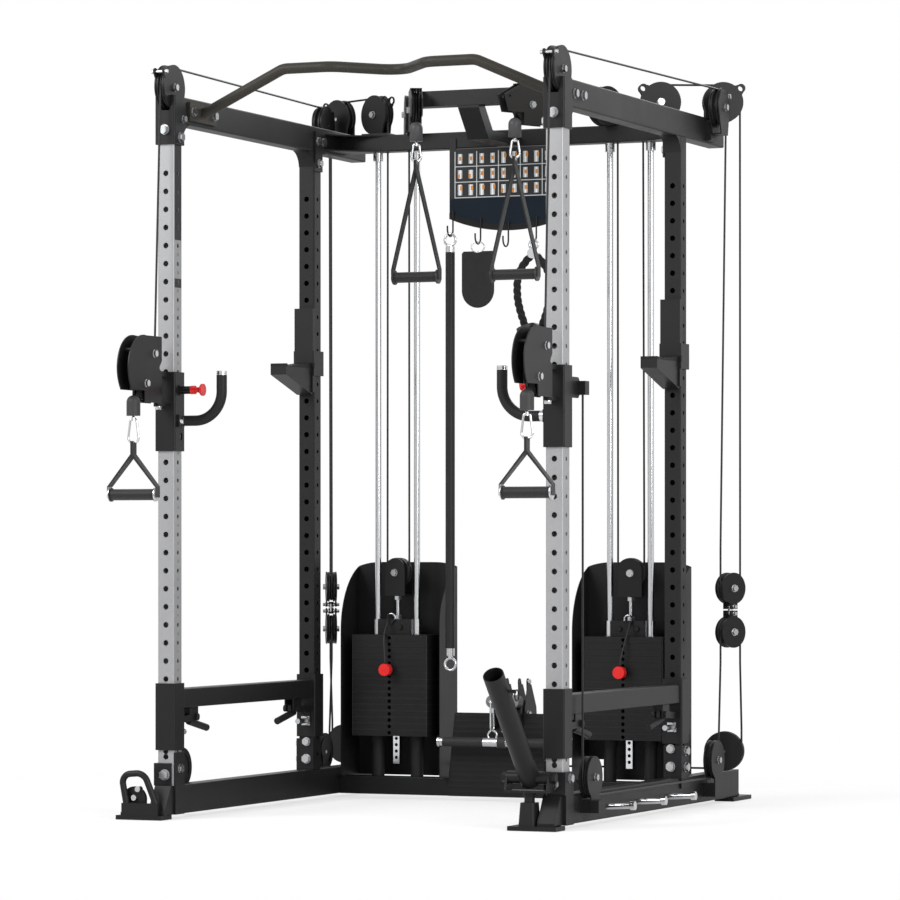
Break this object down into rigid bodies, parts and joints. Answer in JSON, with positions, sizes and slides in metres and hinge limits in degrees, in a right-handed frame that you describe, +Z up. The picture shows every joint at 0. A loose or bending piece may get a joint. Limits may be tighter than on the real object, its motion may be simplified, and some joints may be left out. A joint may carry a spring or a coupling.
{
  "type": "functional trainer",
  "caption": "Free-standing cable trainer and half rack: two weight stacks, sliding pulley heads, lat and low row stations, safety arms, pull-up bar, landmine and hung accessories.",
  "frame": {"origin": "middle of the footprint on the floor", "axes": "+X to the machine's right as seen from the open front, +Y from the front to the back, +Z up"},
  "size_m": [1.3912, 1.8305, 2.1149],
  "materials": {
    "black_plastic": "moulded",
    "board_blue": "printed sheet",
    "bronze_dark": "textured powder coat",
    "cable_black": "smooth coat",
    "cheek_grey": "satin",
    "chrome": "polished",
    "frame_black": "fine satin powder coat",
    "grey_cuff": "padded cloth",
    "iron_black": "painted",
    "knob_red": "moulded",
    "rope_black": "three-strand twist",
    "rubber_black": "moulded",
    "upright_silver": "satin",
    "webbing": "woven"
  },
  "bodies": {
    "frame": {"cross_beams": "frame_black", "base_rails": "frame_black", "front_uprights": "upright_silver", "rear_uprights": "frame_black", "top_rails": "frame_black", "top_front_brackets": "frame_black", "top_rear_brackets": "frame_black", "base_brackets": "frame_black", "row_station": "frame_black", "lat_beam": "cheek_grey", "pull_up_bar": "bronze_dark", "placard": "board_blue", "storage_hooks": "chrome", "guide_rods": "chrome", "stack_bumpers": "rubber_black", "stack_shrouds": "frame_black", "resting_plates": "iron_black", "band_pegs": "chrome", "frame_bolts": "chrome", "rope_anchor": "frame_black", "landmine_base": "frame_black", "turn_pulleys": "black_plastic", "cables": "cable_black", "lat_bar": "rubber_black", "ankle_cuff": "grey_cuff", "triceps_rope": "rope_black", "rope_fittings": "chrome", "row_bar": "chrome", "j_hooks": "frame_black"},
    "top_front_pulleys": {"top_front_pulleys": "black_plastic"},
    "top_rear_pulleys": {"top_rear_pulleys": "black_plastic"},
    "low_front_pulleys": {"low_front_pulleys": "black_plastic"},
    "low_rear_pulleys": {"low_rear_pulleys": "black_plastic"},
    "row_pulleys": {"row_pulleys": "black_plastic"},
    "trolley_left": {"trolley_left": "frame_black"},
    "pop_pin_left": {"pop_pin_left": "knob_red"},
    "swivel_head_left": {"swivel_head_left": "frame_black"},
    "d_handle_left": {"d_handle_left": "webbing"},
    "lat_handle_left": {"lat_handle_left": "webbing"},
    "stack_left": {"stack_carriage_left": "iron_black", "lanyard_left": "cable_black"},
    "selector_pin_left": {"selector_pin_left": "knob_red"},
    "floating_block_left": {"floating_block_left": "frame_black"},
    "safety_bar_left": {"safety_bar_left": "frame_black"},
    "safety_lever_front_left": {"safety_lever_front_left": "rubber_black"},
    "safety_lever_rear_left": {"safety_lever_rear_left": "rubber_black"},
    "trolley_right": {"trolley_right": "frame_black"},
    "pop_pin_right": {"pop_pin_right": "knob_red"},
    "swivel_head_right": {"swivel_head_right": "frame_black"},
    "d_handle_right": {"d_handle_right": "webbing"},
    "lat_handle_right": {"lat_handle_right": "webbing"},
    "stack_right": {"stack_carriage_right": "iron_black", "lanyard_right": "cable_black"},
    "selector_pin_right": {"selector_pin_right": "knob_red"},
    "floating_block_right": {"floating_block_right": "frame_black"},
    "safety_bar_right": {"safety_bar_right": "frame_black"},
    "safety_lever_front_right": {"safety_lever_front_right": "rubber_black"},
    "safety_lever_rear_right": {"safety_lever_rear_right": "rubber_black"},
    "landmine_yoke": {"landmine_yoke": "frame_black"},
    "landmine_tube": {"landmine_tube": "frame_black"}
  },
  "joints": [
    {"name": "top_front_pulleys_spin", "type": "hinge", "parent": "frame", "child": "top_front_pulleys", "pos_m": [0, -0.58074, 2.026], "axis": [1, 0, 0], "continuous": true, "deforming": ["cables"]},
    {"name": "top_rear_pulleys_spin", "type": "hinge", "parent": "frame", "child": "top_rear_pulleys", "pos_m": [0, 0.56326, 2.033], "axis": [1, 0, 0], "continuous": true, "deforming": ["cables"]},
    {"name": "low_front_pulleys_spin", "type": "hinge", "parent": "frame", "child": "low_front_pulleys", "pos_m": [0, -0.44374, 0.133], "axis": [1, 0, 0], "continuous": true, "deforming": ["cables"]},
    {"name": "low_rear_pulleys_spin", "type": "hinge", "parent": "frame", "child": "low_rear_pulleys", "pos_m": [0, 0.53026, 0.134], "axis": [1, 0, 0], "continuous": true, "deforming": ["cables"]},
    {"name": "row_pulleys_spin", "type": "hinge", "parent": "frame", "child": "row_pulleys", "pos_m": [0, 0.52126, 0.258], "axis": [1, 0, 0], "continuous": true, "deforming": ["cables"]},
    {"name": "trolley_slide_left", "type": "slide", "parent": "frame", "child": "trolley_left", "axis": [0, 0, 1], "range_m": [-0.3, 0.4], "deforming": ["cables"]},
    {"name": "pop_pin_pull_left", "type": "slide", "parent": "trolley_left", "child": "pop_pin_left", "axis": [1, 0, 0], "range_m": [0, 0.012], "stiffness_N_per_m": 900},
    {"name": "head_swivel_left", "type": "hinge", "parent": "trolley_left", "child": "swivel_head_left", "pos_m": [-0.578, -0.65174, 1.19], "axis": [0, 0, 1], "range_deg": [-80, 80], "deforming": ["cables"]},
    {"name": "handle_swing_left", "type": "hinge", "parent": "swivel_head_left", "child": "d_handle_left", "pos_m": [-0.578, -0.79874, 1.1047], "axis": [1, 0, 0], "range_deg": [-60, 15]},
    {"name": "lat_handle_swing_left", "type": "hinge", "parent": "frame", "child": "lat_handle_left", "pos_m": [-0.15425, 0.15966, 1.9237], "axis": [1, 0, 0], "range_deg": [-60, 30]},
    {"name": "stack_lift_left", "type": "slide", "parent": "frame", "child": "stack_left", "axis": [0, 0, 1], "range_m": [0, 1.1], "deforming": ["cables"]},
    {"name": "selector_pull_left", "type": "slide", "parent": "stack_left", "child": "selector_pin_left", "axis": [0, -1, 0], "range_m": [0, 0.1], "deforming": ["lanyard_left"]},
    {"name": "block_slide_left", "type": "slide", "parent": "frame", "child": "floating_block_left", "axis": [0, 0, 1], "range_m": [-0.2, 0.15], "deforming": ["cables"]},
    {"name": "safety_slide_left", "type": "slide", "parent": "frame", "child": "safety_bar_left", "axis": [0, 0, 1], "range_m": [0, 0.3]},
    {"name": "safety_lever_front_left_pull", "type": "hinge", "parent": "safety_bar_left", "child": "safety_lever_front_left", "pos_m": [-0.578, -0.44774, 0.277], "axis": [1, 0, 0], "range_deg": [0, 18]},
    {"name": "safety_lever_rear_left_pull", "type": "hinge", "parent": "safety_bar_left", "child": "safety_lever_rear_left", "pos_m": [-0.578, 0.20826, 0.277], "axis": [-1, 0, 0], "range_deg": [0, 18]},
    {"name": "trolley_slide_right", "type": "slide", "parent": "frame", "child": "trolley_right", "axis": [0, 0, 1], "range_m": [-0.3, 0.4], "deforming": ["cables"]},
    {"name": "pop_pin_pull_right", "type": "slide", "parent": "trolley_right", "child": "pop_pin_right", "axis": [-1, 0, 0], "range_m": [0, 0.012], "stiffness_N_per_m": 900},
    {"name": "head_swivel_right", "type": "hinge", "parent": "trolley_right", "child": "swivel_head_right", "pos_m": [0.578, -0.65174, 1.19], "axis": [0, 0, 1], "range_deg": [-80, 80], "deforming": ["cables"]},
    {"name": "handle_swing_right", "type": "hinge", "parent": "swivel_head_right", "child": "d_handle_right", "pos_m": [0.578, -0.79874, 1.1047], "axis": [1, 0, 0], "range_deg": [-60, 15]},
    {"name": "lat_handle_swing_right", "type": "hinge", "parent": "frame", "child": "lat_handle_right", "pos_m": [0.15425, 0.15966, 1.9237], "axis": [1, 0, 0], "range_deg": [-60, 30]},
    {"name": "stack_lift_right", "type": "slide", "parent": "frame", "child": "stack_right", "axis": [0, 0, 1], "range_m": [0, 1.1], "deforming": ["cables"]},
    {"name": "selector_pull_right", "type": "slide", "parent": "stack_right", "child": "selector_pin_right", "axis": [0, -1, 0], "range_m": [0, 0.1], "deforming": ["lanyard_right"]},
    {"name": "block_slide_right", "type": "slide", "parent": "frame", "child": "floating_block_right", "axis": [0, 0, 1], "range_m": [-0.2, 0.15], "deforming": ["cables"]},
    {"name": "safety_slide_right", "type": "slide", "parent": "frame", "child": "safety_bar_right", "axis": [0, 0, 1], "range_m": [0, 0.3]},
    {"name": "safety_lever_front_right_pull", "type": "hinge", "parent": "safety_bar_right", "child": "safety_lever_front_right", "pos_m": [0.578, -0.44774, 0.277], "axis": [1, 0, 0], "range_deg": [0, 18]},
    {"name": "safety_lever_rear_right_pull", "type": "hinge", "parent": "safety_bar_right", "child": "safety_lever_rear_right", "pos_m": [0.578, 0.20826, 0.277], "axis": [-1, 0, 0], "range_deg": [0, 18]},
    {"name": "landmine_swivel", "type": "hinge", "parent": "frame", "child": "landmine_yoke", "pos_m": [0.523, -0.64374, 0.092], "axis": [0, 0, 1], "range_deg": [-45, 2]},
    {"name": "landmine_tilt", "type": "hinge", "parent": "landmine_yoke", "child": "landmine_tube", "pos_m": [0.523, -0.64374, 0.14], "axis": [1, 0, 0], "range_deg": [-25, 45]}
  ],
  "couplings": [
    {"joint": "block_slide_left", "follows": "trolley_slide_left", "ratio": -0.5},
    {"joint": "block_slide_right", "follows": "trolley_slide_right", "ratio": -0.5}
  ]
}
